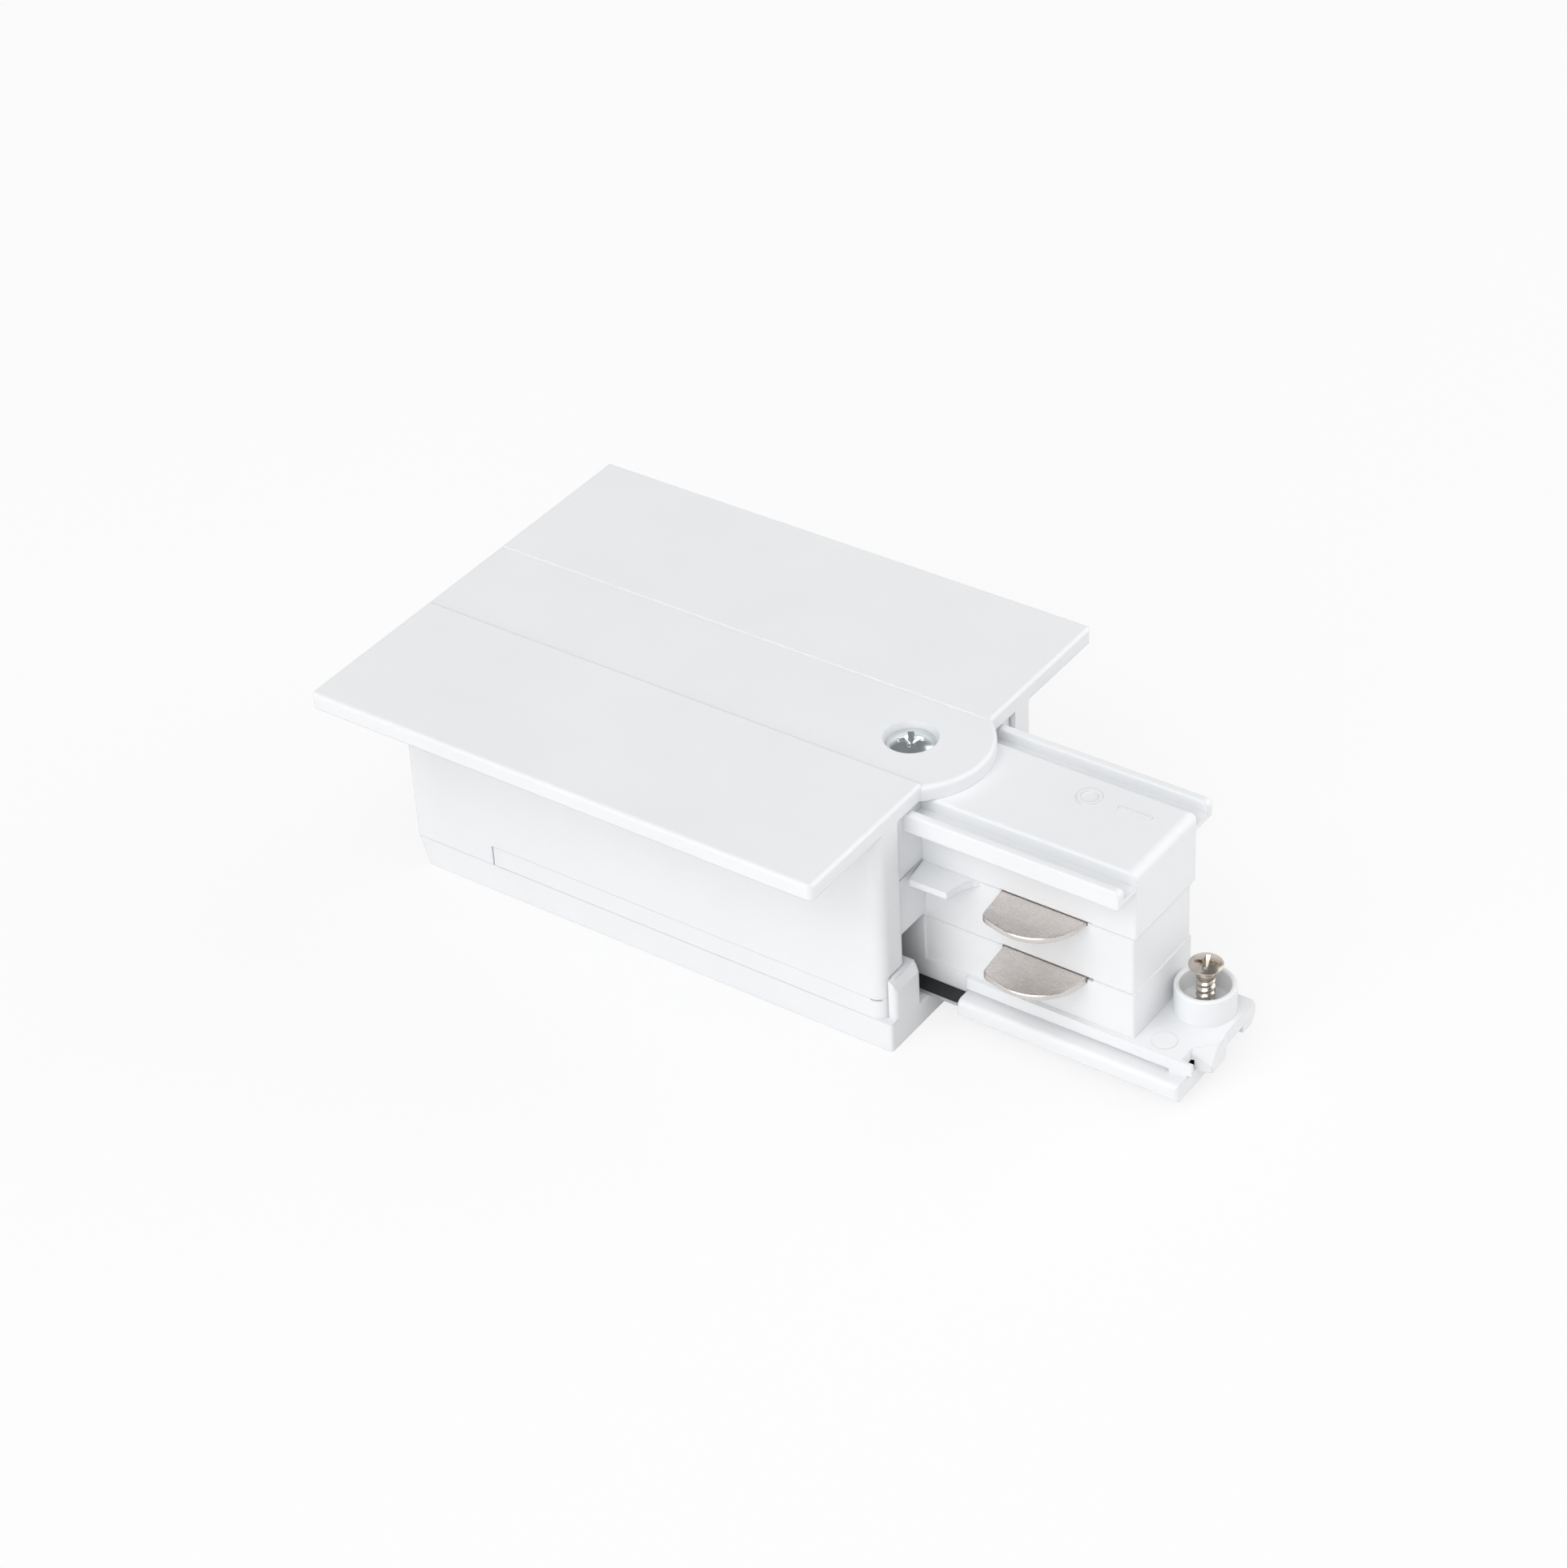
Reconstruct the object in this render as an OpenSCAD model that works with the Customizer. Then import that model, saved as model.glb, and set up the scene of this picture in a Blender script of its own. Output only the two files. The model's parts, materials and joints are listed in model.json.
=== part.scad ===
// Live-end power feed for a recessed three-circuit lighting track
// X runs from the housing's rear to the plug's tip, Y across, Z up from the rear cover's outer face
// The origin is the middle of the bounding box's bottom face

/* [Ceiling flange] */
// Length of the flange along the track
flange_l = 75; // [73:1:80]
// Width of the flange across the track
flange_w = 62; // [56:1:70]
// Thickness of the flange
flange_t = 2.2; // [1.8:0.1:2.6]
// Height of the flange's visible face above the rear cover's outer face
flange_z = 34; // [34:0.5:36]
// Half width of the shallow channel that lines up with the track's slot
channel_half = 7.65; // [7:0.05:8]
// Depth of that channel
channel_d = 0.3; // [0.2:0.05:0.4]
// Radius of the tongue that reaches over the plug
tongue_r = 10.4; // [10:0.1:10.8]
// Distance of the tongue's screw from the flange's rear edge
tongue_x = 68.4; // [67:0.1:69]

/* [Housing] */
// Half width of the housing
body_half = 17.5; // [17.2:0.1:18]
// Rear face of the housing
body_x0 = 2.3; // [1.5:0.1:3]
// Front face of the housing
body_x1 = 75; // [74.9:0.05:75]
// Wall thickness
wall = 1.7; // [1.6:0.05:1.7]
// Height of the side walls' lower edge
wall_z = 7.2; // [7:0.1:7.4]
// Half width of the front opening
mouth_half = 13; // [12.8:0.1:13.1]
// Height of the front opening's lower rim
mouth_z = 10.2; // [10.2:0.1:10.6]
// Diameter of the cable entry in the rear wall
entry_d = 10.5; // [8:0.5:11]
// Height of the cable entry's axis
entry_z = 21; // [20.5:0.1:21.5]

/* [Rear cover] */
// Height of the cover's tray
tray_h = 4.2; // [4:0.1:4.4]
// Thickness of the tray's floor
tray_t = 1.6; // [1.4:0.1:1.8]
// Front face of the cover
cover_x1 = 76.2; // [76.2:0.1:76.4]
// Height of the two front cheeks
cheek_z = 10; // [9:0.1:10]
// Half width of the cut-out between the cheeks
cutout_half = 11.3; // [10.5:0.1:11.5]

/* [Plug] */
// Half width of the plug's block
plug_half = 7; // [7:0.05:7.2]
// Front face of the plug's block
plug_x1 = 104.1; // [103.9:0.05:104.1]
// Height of the block's top
plug_z1 = 31.6; // [31.6:0.05:31.7]
// Height of the parting plane that holds the upper contacts
upper_z = 21.9; // [21.9:0.05:22.1]
// Height of the parting plane that holds the lower contacts
lower_z = 13.25; // [13.2:0.05:13.4]
// Height of the foot's top face
foot_z = 6.7; // [6.6:0.05:6.8]
// Half width across the upper rails
rail_half = 10.8; // [10.7:0.05:11]
// Half width across the foot's lower bars
bar_half = 9.4; // [9.2:0.05:9.5]
// Front tip of the foot
tip_x = 112.9; // [112.8:0.1:113.2]

/* [Contacts and terminals] */
// Thickness of the contact blades
blade_t = 0.8; // [0.7:0.05:0.8]
// Reach of the blades from the plug's middle
blade_half = 13.5; // [13:0.1:13.8]
// Distance between neighbouring wire clamps
clamp_pitch = 5.6; // [5.6:0.05:5.7]

/* [Hidden] */
$fn = 48;
// Overshoot of a cutting tool past the face that it cuts
over = 0.5;
// Play between a piece and the pocket or hole that it sits in
play = 0.05;
white = "#f4f5f7";
steel = "#b9bcc2";
nickel = "#c9c3b8";
brass = "#c8a860";
// Underside of the flange, and floor of the shallow channel
roof_z = flange_z - flange_t;
channel_z = flange_z - channel_d;
// The plug's wide rear part, which the housing holds behind its front walls
seat_half = body_half - wall - 0.2;
seat_x0 = 44;
seat_x1 = body_x1 - wall - 0.1;
shoulder_x = 74.3;
shoulder_half = mouth_half - 0.2;
// The rear end of the plug's lowest layer
base_x0 = 54;
// Layers' own half widths and front faces, which step a little as separate mouldings do
middle_half = plug_half - 0.35;
middle_x1 = plug_x1 - 0.5;
base_half = plug_half - 0.25;
base_x1 = plug_x1 - 0.3;
layer_corner_r = 0.3;
// The contacts' slots in the block's sides, and the narrow slit over each blade
slot_x0 = 85.5;
slot_x1 = 97.7;
slit_h = 0.12;
slit_d = 0.9;
slot_end_h = 0.3;
// Middle line of a tail inside the block, and its width
tail_y = 4.7;
tail_w = 3;
// The tails' rear end, and the place where the lower ones rise to the clamps
tail_x0 = 31;
riser_x = 42;
// The foot
foot_x0 = 80.5;
bar_z0 = 1.9;
bar_z1 = 4.4;
lip_half = 7.45;
lip_z0 = 4.85;
lip_x1 = 112.2;
front_x1 = 111.4;
strip_z = 3.45;
strip_t = 0.5;
strip_half = 9.4;
strip_x1 = 110.8;
notch_x0 = 110.6;
notch_wall = 0.35;
// The boss of the locking screw
boss = [108.05, 2.8];
boss_r = 3.83;
boss_h = 3.8;
boss_bore_r = 3.15;
screw_r = 1.2;
// The terminal block and its clamps
block_x0 = 28;
block_x1 = 39.5;
block_z0 = 12;
block_z1 = 27;
clamp_w = 4.6;
clamp_x0 = 29.4;
clamp_l = 8;
clamp_z0 = 14;
clamp_h = 9.4;
wire_z = 19.3;
block_screw_x = 24.2;
block_screw_y = 11;
// Screws that hold the plug's layers together, and the pockets of their heads
layer_screw_x = [60, 96];
layer_head_r = 2.3;
layer_head_z0 = strip_z + strip_t + 0.4;
layer_head_z1 = strip_z + strip_t + 2.3;
// Cored pockets of the plug's wide part
core_x = [45.8, 59.2];
core_l = 11.6;
core_wall = 1.8;
// The cable clamp
saddle_x = 12.5;
saddle_y = 9.8;
saddle_z = 16.4;
total_l = tip_x;

// A flat profile in Y and Z, extruded along X
module along_x(x0, x1) {
    translate([x0, 0, 0]) rotate([90, 0, 90]) linear_extrude(x1 - x0) children();
}

// A flat profile in X and Z, extruded along Y
module along_y(y0, y1) {
    translate([0, y1, 0]) rotate([90, 0, 0]) linear_extrude(y1 - y0) children();
}

// A flat profile in X and Y, extruded along Z
module along_z(z0, z1) {
    translate([0, 0, z0]) linear_extrude(z1 - z0) children();
}

// What a rounded corner loses at point p, with s pointing into the shape
module corner_waste(p, s, r) {
    difference() {
        translate(p + s * (r - over) / 2) square(r + over, center = true);
        translate(p + s * r) circle(r);
    }
}

// A rectangle between corners a and b, with one radius per corner, counted round from a
module rounded_rect(a, b, r) {
    corners = [a, [b.x, a.y], b, [a.x, b.y]];
    inward = [[1, 1], [-1, 1], [-1, -1], [1, -1]];
    difference() {
        translate(a) square(b - a);
        for (i = [0:3]) {
            if (r[i] > 0) corner_waste(corners[i], inward[i], r[i]);
        }
    }
}

// A box between two opposite corners
module box(a, b) {
    translate(a) cube(b - a);
}

// A box that is symmetrical about the plug's middle plane
module mid_box(x0, x1, half, z0, z1) {
    box([x0, -half, z0], [x1, half, z1]);
}

// The same shape on both sides of the middle plane
module both_sides() {
    children();
    mirror([0, 1, 0]) children();
}

// A straight pin or hole along Z
module pin(x, y, z0, z1, r) {
    translate([x, y, z0]) cylinder(h = z1 - z0, r = r);
}

// The object's own frame: everything is measured from the flange's rear edge, then centred
module place() {
    translate([-total_l / 2, 0, 0]) children();
}

// Flange

module flange_plate() {
    edge_r = 0.5;
    plan_r = 0.8;
    intersection() {
        along_z(roof_z, flange_z)
            rounded_rect([0, -flange_w / 2], [flange_l, flange_w / 2], plan_r * [1, 1, 1, 1]);
        along_x(-over, flange_l + over)
            rounded_rect([-flange_w / 2, roof_z], [flange_w / 2, flange_z], edge_r * [0, 0, 1, 1]);
        along_y(-flange_w / 2 - over, flange_w / 2 + over)
            rounded_rect([0, roof_z], [flange_l, flange_z], edge_r * [0, 0, 1, 1]);
    }
}

// The round-ended tongue rests on the plug and takes the screw that ties the two together
module tongue() {
    intersection() {
        translate([tongue_x, 0, 0]) rotate_extrude($fn = 96)
            rounded_rect([0, plug_z1], [tongue_r, channel_z], [0, 0, 0.6, 0]);
        box([flange_l - 1.5, -tongue_r, plug_z1 - over], [flange_l + tongue_r, tongue_r, flange_z]);
    }
}

// Housing

// The front edge of a side wall turns round into the end wall
module shell_outline() {
    rounded_rect([body_x0, -body_half], [body_x1, body_half], [0.8, 1.8, 1.8, 0.8]);
}

module shell() {
    inner_half = body_half - wall;
    skirt_x0 = 15;
    difference() {
        along_z(tray_h, roof_z + over) shell_outline();
        along_z(-over, roof_z)
            rounded_rect([body_x0 + wall, -inner_half], [body_x1 - wall, inner_half], [0.6, 0, 0, 0.6]);
        mid_box(body_x1 - wall - over, body_x1 + over, mouth_half, -over, roof_z);
        mid_box(body_x1 - wall - over, body_x1 + over, inner_half, -over, mouth_z);
        mid_box(skirt_x0, body_x1 + over, body_half + over, -over, wall_z);
        along_y(-body_half - over, body_half + over)
            corner_waste([body_x0, tray_h], [1, 1], 1.1);
    }
}

// Two posts on the roof carry the terminal block
module block_posts() {
    post_r = 2.6;
    both_sides() pin(block_screw_x, block_screw_y, block_z1, roof_z + over, post_r);
}

// Two posts and a hollow saddle between them hold the cable from above
module cable_saddle() {
    post_r = 2.8;
    post_w = 5.2;
    both_sides() pin(saddle_x, saddle_y, saddle_z, roof_z + over, post_r);
    difference() {
        mid_box(saddle_x - post_w / 2, saddle_x + post_w / 2, saddle_y, entry_z + 1, roof_z + over);
        translate([saddle_x - post_w, 0, entry_z]) rotate([0, 90, 0]) cylinder(h = 2 * post_w, d = entry_d - 1);
    }
}

// Stiffening ribs stand between the roof and the side walls
module wall_ribs() {
    rib_t = 1.2;
    rib_d = 3;
    for (x = [18.4, 41]) {
        both_sides() along_x(x, x + rib_t)
            polygon([[seat_half - rib_d, roof_z + over], [body_half - 1, roof_z + over],
                [body_half - 1, roof_z - 3 * rib_d], [seat_half, roof_z - 3 * rib_d]]);
    }
}

module flange_housing() {
    thread_hole = screw_r + play;
    color(white) difference() {
        union() {
            flange_plate();
            tongue();
            shell();
            block_posts();
            cable_saddle();
            wall_ribs();
        }
        mid_box(-over, flange_l + over, channel_half, channel_z, flange_z + over);
        // Dished seat and clearance hole of the tongue's screw
        translate([tongue_x, 0, channel_z - 1.1]) cylinder(h = 1.2, r1 = 3.2, r2 = 3.45, $fn = 64);
        pin(tongue_x, 0, plug_z1 - over, flange_z, 1.7);
        translate([body_x0 - over, 0, entry_z]) rotate([0, 90, 0])
            cylinder(h = wall + 2 * over, d = entry_d, $fn = 64);
        both_sides() pin(block_screw_x, block_screw_y, block_z1 - over, block_z1 + 4, thread_hole);
        both_sides() pin(saddle_x, saddle_y, saddle_z - over, saddle_z + 9, thread_hole);
    }
}

// Rear cover

// Side view of the tray, with its rear end slanted under the housing
module tray_side() {
    polygon([[4.3, 0], [cover_x1, 0], [cover_x1, tray_h], [2.9, tray_h], [3.1, 3.4]]);
}

module cover_tray() {
    tray_wall = 1.7;
    difference() {
        intersection() {
            along_y(-body_half, body_half) tray_side();
            along_z(-over, tray_h + over)
                rounded_rect([2, -body_half], [cover_x1, body_half], [0.8, 0.5, 0.5, 0.8]);
        }
        mid_box(6.4, cover_x1 - 2.4, body_half - tray_wall, tray_t, tray_h + over);
    }
}

// The skirt closes the gap under the side walls, flush with them and with their round front corners
module cover_skirt() {
    skirt_x0 = 15;
    both_sides() along_z(tray_h - over, wall_z)
        rounded_rect([skirt_x0 + 0.1, body_half - wall], [body_x1, body_half - 0.1], [0, 0, 1.7, 0]);
}

// Two cheeks close the front opening on both sides of the plug
module cover_cheeks() {
    cheek_x0 = body_x1 + 0.1;
    cheek_half = 16.4;
    chamfer = 1;
    inner_x0 = body_x1 - wall + 0.1;
    both_sides() {
        intersection() {
            along_y(cutout_half, cheek_half)
                polygon([[cheek_x0, tray_h - over], [cover_x1, tray_h - over],
                    [cover_x1, cheek_z - 1.6 * chamfer], [cover_x1 - 0.4 * chamfer, cheek_z - 0.5 * chamfer],
                    [cover_x1 - 0.9 * chamfer, cheek_z], [cheek_x0, cheek_z]]);
            along_z(-over, cheek_z + over)
                rounded_rect([cheek_x0, cutout_half - over], [cover_x1, cheek_half], [0, 0, 0.7, 0]);
        }
        box([inner_x0, cutout_half, tray_h - over], [cheek_x0 + over, body_half - wall - 0.15, cheek_z]);
    }
}

// Clip arms run up inside the side walls, each with a small bead
module clip_arms() {
    arm_t = 1.2;
    arm_l = 7;
    arm_z1 = 12.6;
    arm_y1 = body_half - wall - 0.25;
    for (x = [21, 61]) {
        both_sides() {
            box([x, arm_y1 - arm_t, tray_t - over], [x + arm_l, arm_y1, arm_z1]);
            translate([x, arm_y1 - 0.3, arm_z1 - 1.5]) rotate([0, 90, 0]) cylinder(h = arm_l, r = 0.5);
            along_x(x + arm_l / 2 - 0.5, x + arm_l / 2 + 0.5)
                polygon([[arm_y1 - arm_t, tray_t - over], [arm_y1 - arm_t - 2.5, tray_t - over],
                    [arm_y1 - arm_t, arm_z1 - 4]]);
        }
    }
}

module rear_cover() {
    cut_z = 3.4;
    ring_x = 24;
    ring_r = 9;
    color(white) difference() {
        union() {
            cover_tray();
            cover_skirt();
            cover_cheeks();
            clip_arms();
        }
        mid_box(cover_x1 - 3.5, cover_x1 + over, cutout_half, cut_z, cheek_z + over);
        // Thin ring in the outer face, along which a second cable entry can be knocked out
        translate([ring_x, 0, -over]) difference() {
            cylinder(h = over + 0.5, r = ring_r, $fn = 64);
            translate([0, 0, -over]) cylinder(h = 3 * over, r = ring_r - 0.5, $fn = 64);
        }
        // Pry slot at the front end of each skirt
        both_sides() box([73.2, body_half - 0.8, wall_z - 0.3], [74.5, body_half + over, wall_z + over]);
    }
}

// Plug layers

// A rail beside the block: a low web, and along its outer edge an upright lip
module upper_rail() {
    rail_z0 = 28.5;
    rail_z1 = 31.4;
    web_z1 = 29.9;
    lip_y0 = 9.6;
    rail_x0 = seat_x1 - over;
    rail_x1 = 104.05;
    lead_r = 0.9;
    edge_r = 0.3;
    intersection() {
        along_x(rail_x0, rail_x1) difference() {
            rounded_rect([plug_half - 0.5, rail_z0], [rail_half, rail_z1], [0, 0.5, edge_r, 0]);
            translate([plug_half - over, web_z1]) square([lip_y0 - plug_half + over, rail_z1]);
            corner_waste([lip_y0, rail_z1], [1, -1], edge_r);
        }
        along_y(0, rail_half + over)
            rounded_rect([rail_x0 - over, rail_z0], [rail_x1, rail_z1], [0, lead_r, lead_r, 0]);
        along_z(rail_z0 - over, rail_z1 + over)
            rounded_rect([rail_x0 - over, 0], [rail_x1, rail_half], [0, 0, edge_r, 0]);
    }
}

// The wide rear part of a layer with the shoulders that stop behind the housing's front walls
module seat(z0, z1) {
    mid_box(seat_x0, seat_x1, seat_half, z0, z1);
    mid_box(seat_x1 - over, shoulder_x, shoulder_half, z0, z1);
}

// The block's top part, with small radii along its sides and a large one across its front
module block_top() {
    side_r = 0.4;
    front_r = 1.3;
    x0 = shoulder_x - over;
    intersection() {
        along_x(x0, plug_x1)
            rounded_rect([-plug_half, upper_z], [plug_half, plug_z1], [0, 0, side_r, side_r]);
        along_y(-plug_half - over, plug_half + over)
            rounded_rect([x0 - over, upper_z], [plug_x1, plug_z1], [0, 0, front_r, 0]);
        along_z(upper_z - over, plug_z1 + over)
            rounded_rect([x0 - over, -plug_half], [plug_x1, plug_half], layer_corner_r * [0, 1, 1, 0]);
    }
}

// The block's lower parts have plain faces
module block_layer(x1, half, z0, z1) {
    along_z(z0, z1)
        rounded_rect([shoulder_x - over, -half], [x1, half], layer_corner_r * [0, 1, 1, 0]);
}

// A narrow slit in a layer's underside, open to the side, leaves the blade below it free to flex
module blade_slits(z, half) {
    both_sides() box([slot_x0 - 0.1, half - slit_d, z - over], [slot_x1 + 0.4, half + over, z + slit_h]);
}

// The slot in the layer below is longer than the blade at its front end
module slot_ends(z, half) {
    both_sides() box([slot_x1 - 1, half - slit_d, z - slot_end_h], [slot_x1 + 0.4, half + over, z + over]);
}

module plug_top() {
    core_z = upper_z + 2;
    shoulder_slit = 0.25;
    mark = [91.6, 3.2];
    mark_h = 0.15;
    color(white) difference() {
        union() {
            seat(upper_z, plug_z1);
            block_top();
            both_sides() upper_rail();
            // Plain raised ring and bar
            difference() {
                pin(mark.x, mark.y, plug_z1 - over, plug_z1 + mark_h, 1.6);
                pin(mark.x, mark.y, plug_z1, plug_z1 + 2 * mark_h, 1.1);
            }
            box([95.6, mark.y - 0.25, plug_z1 - over], [100.2, mark.y + 0.25, plug_z1 + mark_h]);
        }
        // Cored pockets keep the wide part to even walls
        for (x = core_x) {
            both_sides() box([x, 5.2, core_z], [x + core_l, seat_half - core_wall, plug_z1 + over]);
        }
        pin(tongue_x, 0, upper_z + 1.6, plug_z1 + over, screw_r + play);
        for (x = layer_screw_x) {
            pin(x, 0, upper_z - over, upper_z + 4.6, screw_r + play);
        }
        blade_slits(upper_z, plug_half);
        both_sides() box([shoulder_x - 0.6, plug_half, upper_z - over],
            [shoulder_x + over, shoulder_half + over, upper_z + shoulder_slit]);
    }
}

// Outline of a contact seen from above, for the side where Y is negative: the blade that reaches
// out of the block, and a tail that runs back and shifts over to its wire clamp behind the shoulders
// grow widens it on every side for the pocket that it lies in
module contact_plan(clamp_y, x_end, grow = 0) {
    half = tail_w / 2 + grow;
    bend_x1 = 70;
    bend_x0 = 63;
    nose_r = 6.3;
    nose = [90.9, nose_r - blade_half];
    heel_r = 1.5;
    heel = [slot_x0 + 1.9, -blade_half + 2.2];
    polygon(concat(
        [[slot_x0 - grow, -tail_y - half], [slot_x0 - grow, -plug_half]],
        [for (i = [0:4])
            let (a = 190 + i * 15)
            heel + (heel_r + grow) * [cos(a), sin(a)]],
        [for (i = [0:12])
            let (a = 262 + i * 98 / 12)
            nose + (nose_r + grow) * [cos(a), sin(a)]],
        [[slot_x1 - 0.5 + grow, -tail_y + half], [bend_x1, -tail_y + half], [bend_x0, -clamp_y + half],
            [x_end - grow, -clamp_y + half], [x_end - grow, -clamp_y - half], [bend_x0, -clamp_y - half],
            [bend_x1, -tail_y - half]]));
}

// Pockets in a layer's top face for its two contacts
module contact_pockets(z, clamp_y, x_end) {
    both_sides() along_z(z - blade_t, z + over) contact_plan(clamp_y, x_end, 0.1);
}

// Stop tab on the near side, which keeps the plug from going in the wrong way round
module key_tab() {
    tab_t = 1;
    along_z(upper_z - tab_t, upper_z)
        polygon([[shoulder_x - over, -middle_half + over], [shoulder_x, -middle_half], [75, -11],
            [80.3, -10.9], [80.9, -8.6], [81.6, -7.3], [82.3, -middle_half], [82.3, -middle_half + over]]);
}

module plug_middle() {
    seat_z = 13.8;
    color(white) difference() {
        union() {
            seat(seat_z, upper_z);
            mid_box(base_x0, shoulder_x, plug_half, lower_z, upper_z);
            block_layer(middle_x1, middle_half, lower_z, upper_z);
            key_tab();
        }
        blade_slits(lower_z, middle_half);
        contact_pockets(upper_z, 2 * clamp_pitch, seat_x0 - over);
        slot_ends(upper_z, middle_half);
        for (x = layer_screw_x) {
            pin(x, 0, lower_z - over, upper_z + over, screw_r + play);
        }
        // Cored pockets from below, clear of the lower tails
        for (x = core_x) {
            both_sides() box([x, 9, lower_z - over], [x + core_l, seat_half - core_wall, upper_z - blade_t - 1.4]);
        }
    }
}

// The boss is a ring with a rounded rim
module screw_boss() {
    rim_r = 0.25;
    translate([boss.x, boss.y, 0]) rotate_extrude($fn = 72)
        rounded_rect([boss_bore_r, foot_z - over], [boss_r, foot_z + boss_h], [0, 0, rim_r, rim_r]);
}

// The lip, a straight plate with a short tongue in front and a slanted flank beside its notch
module foot_lip() {
    far_r = 0.4;
    tongue_y = [-2.4, -0.9, 0.2];
    flank_y = -4.6;
    flank_z0 = 3.4;
    flank_a = atan2(tongue_y[0] - flank_y, tip_x - notch_x0);
    flank_tilt = 25;
    lip_front = lip_x1 + 0.4;
    root_x = 109;
    notch_y1 = -4.9;
    along_z(lip_z0, foot_z)
        polygon([[foot_x0, -lip_half], [notch_x0, -lip_half], [notch_x0, flank_y], [tip_x, tongue_y[0]],
            [tip_x, tongue_y[1]], [lip_front, tongue_y[2]], [lip_front, plug_half - far_r],
            [lip_front - far_r, plug_half], [foot_x0, plug_half]]);
    difference() {
        along_z(flank_z0, foot_z)
            polygon([[root_x, notch_y1], [notch_x0, notch_y1], [tip_x, notch_y1 + 1], [tip_x, tongue_y[1]],
                [root_x, tongue_y[1]]]);
        translate([notch_x0, flank_y, foot_z]) rotate([0, 0, flank_a]) rotate([-flank_tilt, 0, 0])
            translate([-6, -6, -8]) cube([14, 6, 14]);
    }
    box([notch_x0 - over, -lip_half, lip_z0], [lip_x1, -lip_half + notch_wall, foot_z]);
    box([root_x, -lip_half, bar_z1 - over], [front_x1, -lip_half + notch_wall, lip_z0 + over]);
}

// A lug on the far side reaches lower than the lip
module far_lug() {
    lug_y0 = 4.1;
    lug_z0 = 3.75;
    along_x(109.5, lip_x1 + 0.35)
        polygon([[lug_y0, lug_z0], [plug_half - 0.7, lug_z0], [plug_half, lug_z0 + 1.4], [plug_half, foot_z - 0.5],
            [plug_half - 0.5, foot_z], [lug_y0, foot_z]]);
}

// The foot's front under the lip, with a slanted underside behind it and bars along both sides
module foot_bars() {
    front_y = 1.3;
    end_r = 0.6;
    step_d = 0.4;
    low_r = 0.5;
    high_r = 0.7;
    front_x0 = 104;
    intersection() {
        along_z(bar_z0, bar_z1) union() {
            rounded_rect([front_x0, -bar_half], [front_x1, front_y], [0, end_r, 0, 0]);
            translate([front_x1 - 1, front_y - 1]) square([1 + step_d, 1]);
            rounded_rect([front_x0, front_y - over], [front_x1 - 1, bar_half], [0, 0, end_r, 0]);
        }
        along_y(-bar_half, bar_half)
            polygon([[front_x0, strip_z + strip_t], [front_x0 + 1, bar_z0], [tip_x, bar_z0], [tip_x, bar_z1],
                [front_x0, bar_z1]]);
        along_x(front_x0 - over, tip_x)
            rounded_rect([-bar_half, bar_z0], [bar_half, bar_z1], [low_r, low_r, high_r, high_r]);
    }
    box([109, -2.3, bar_z1 - over], [front_x1 - 0.3, plug_half - 1, foot_z - over]);
    both_sides() along_x(foot_x0, front_x0 + 1)
        rounded_rect([5.6, bar_z0], [bar_half, bar_z1], [0, low_r, high_r, 0]);
}

// The earth strip's front end shows through a notch at the near side of the lip
module earth_notch() {
    room_x0 = 109.1;
    wall_x0 = strip_x1 + 0.15;
    under_y1 = -2.4;
    notch_y = [-lip_half + notch_wall, -4.9];
    box([notch_x0, notch_y[0], bar_z1 - 0.3], [tip_x, notch_y[1], foot_z + over]);
    // Room round the strip's end under the lip
    box([room_x0, notch_y[0], strip_z], [wall_x0, under_y1, lip_z0 + 0.3]);
}

module plug_base() {
    // Round ejector mark on the foot
    mark = [107.05, -5.1];
    color(white) difference() {
        union() {
            mid_box(base_x0, shoulder_x, plug_half, foot_z - over, lower_z);
            block_layer(base_x1, base_half, foot_z - over, lower_z);
            mid_box(base_x0, 110, plug_half, strip_z + strip_t, foot_z);
            foot_lip();
            far_lug();
            foot_bars();
            screw_boss();
            pin(boss.x, boss.y, foot_z - over, foot_z + 1, boss_bore_r + 0.2);
            pin(mark.x, mark.y, foot_z - over, foot_z + 0.06, 1.6);
        }
        contact_pockets(lower_z, clamp_pitch, base_x0 - over);
        slot_ends(lower_z, base_half);
        pin(boss.x, boss.y, bar_z0 - over, foot_z + boss_h, screw_r + play);
        earth_notch();
        // Bed of the earth strip
        box([103, -5.3, bar_z0 - over], [strip_x1 + 0.1, 5.3, strip_z + strip_t]);
        for (x = layer_screw_x) {
            pin(x, 0, strip_z, lower_z + over, screw_r + play);
            pin(x, 0, strip_z, layer_head_z1, layer_head_r + 0.1);
        }
    }
}

// Contacts

module contact(z, clamp_y, x_end) {
    along_z(z - blade_t, z) contact_plan(clamp_y, x_end);
}

// A lower contact's tail rises behind the plug to the level of the clamps
module riser(clamp_y, z0) {
    box([riser_x - blade_t, -clamp_y - tail_w / 2, z0], [riser_x, -clamp_y + tail_w / 2, upper_z]);
    box([tail_x0, -clamp_y - tail_w / 2, upper_z - blade_t], [riser_x, -clamp_y + tail_w / 2, upper_z]);
}

module contact_upper() {
    color(nickel) contact(upper_z, 2 * clamp_pitch, tail_x0);
}

module contact_lower() {
    color(nickel) {
        contact(lower_z, clamp_pitch, riser_x - blade_t);
        riser(clamp_pitch, lower_z - blade_t);
    }
}

module contact_upper_near() {
    contact_upper();
}

module contact_upper_far() {
    mirror([0, 1, 0]) contact_upper();
}

module contact_lower_near() {
    contact_lower();
}

module contact_lower_far() {
    mirror([0, 1, 0]) contact_lower();
}

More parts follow.
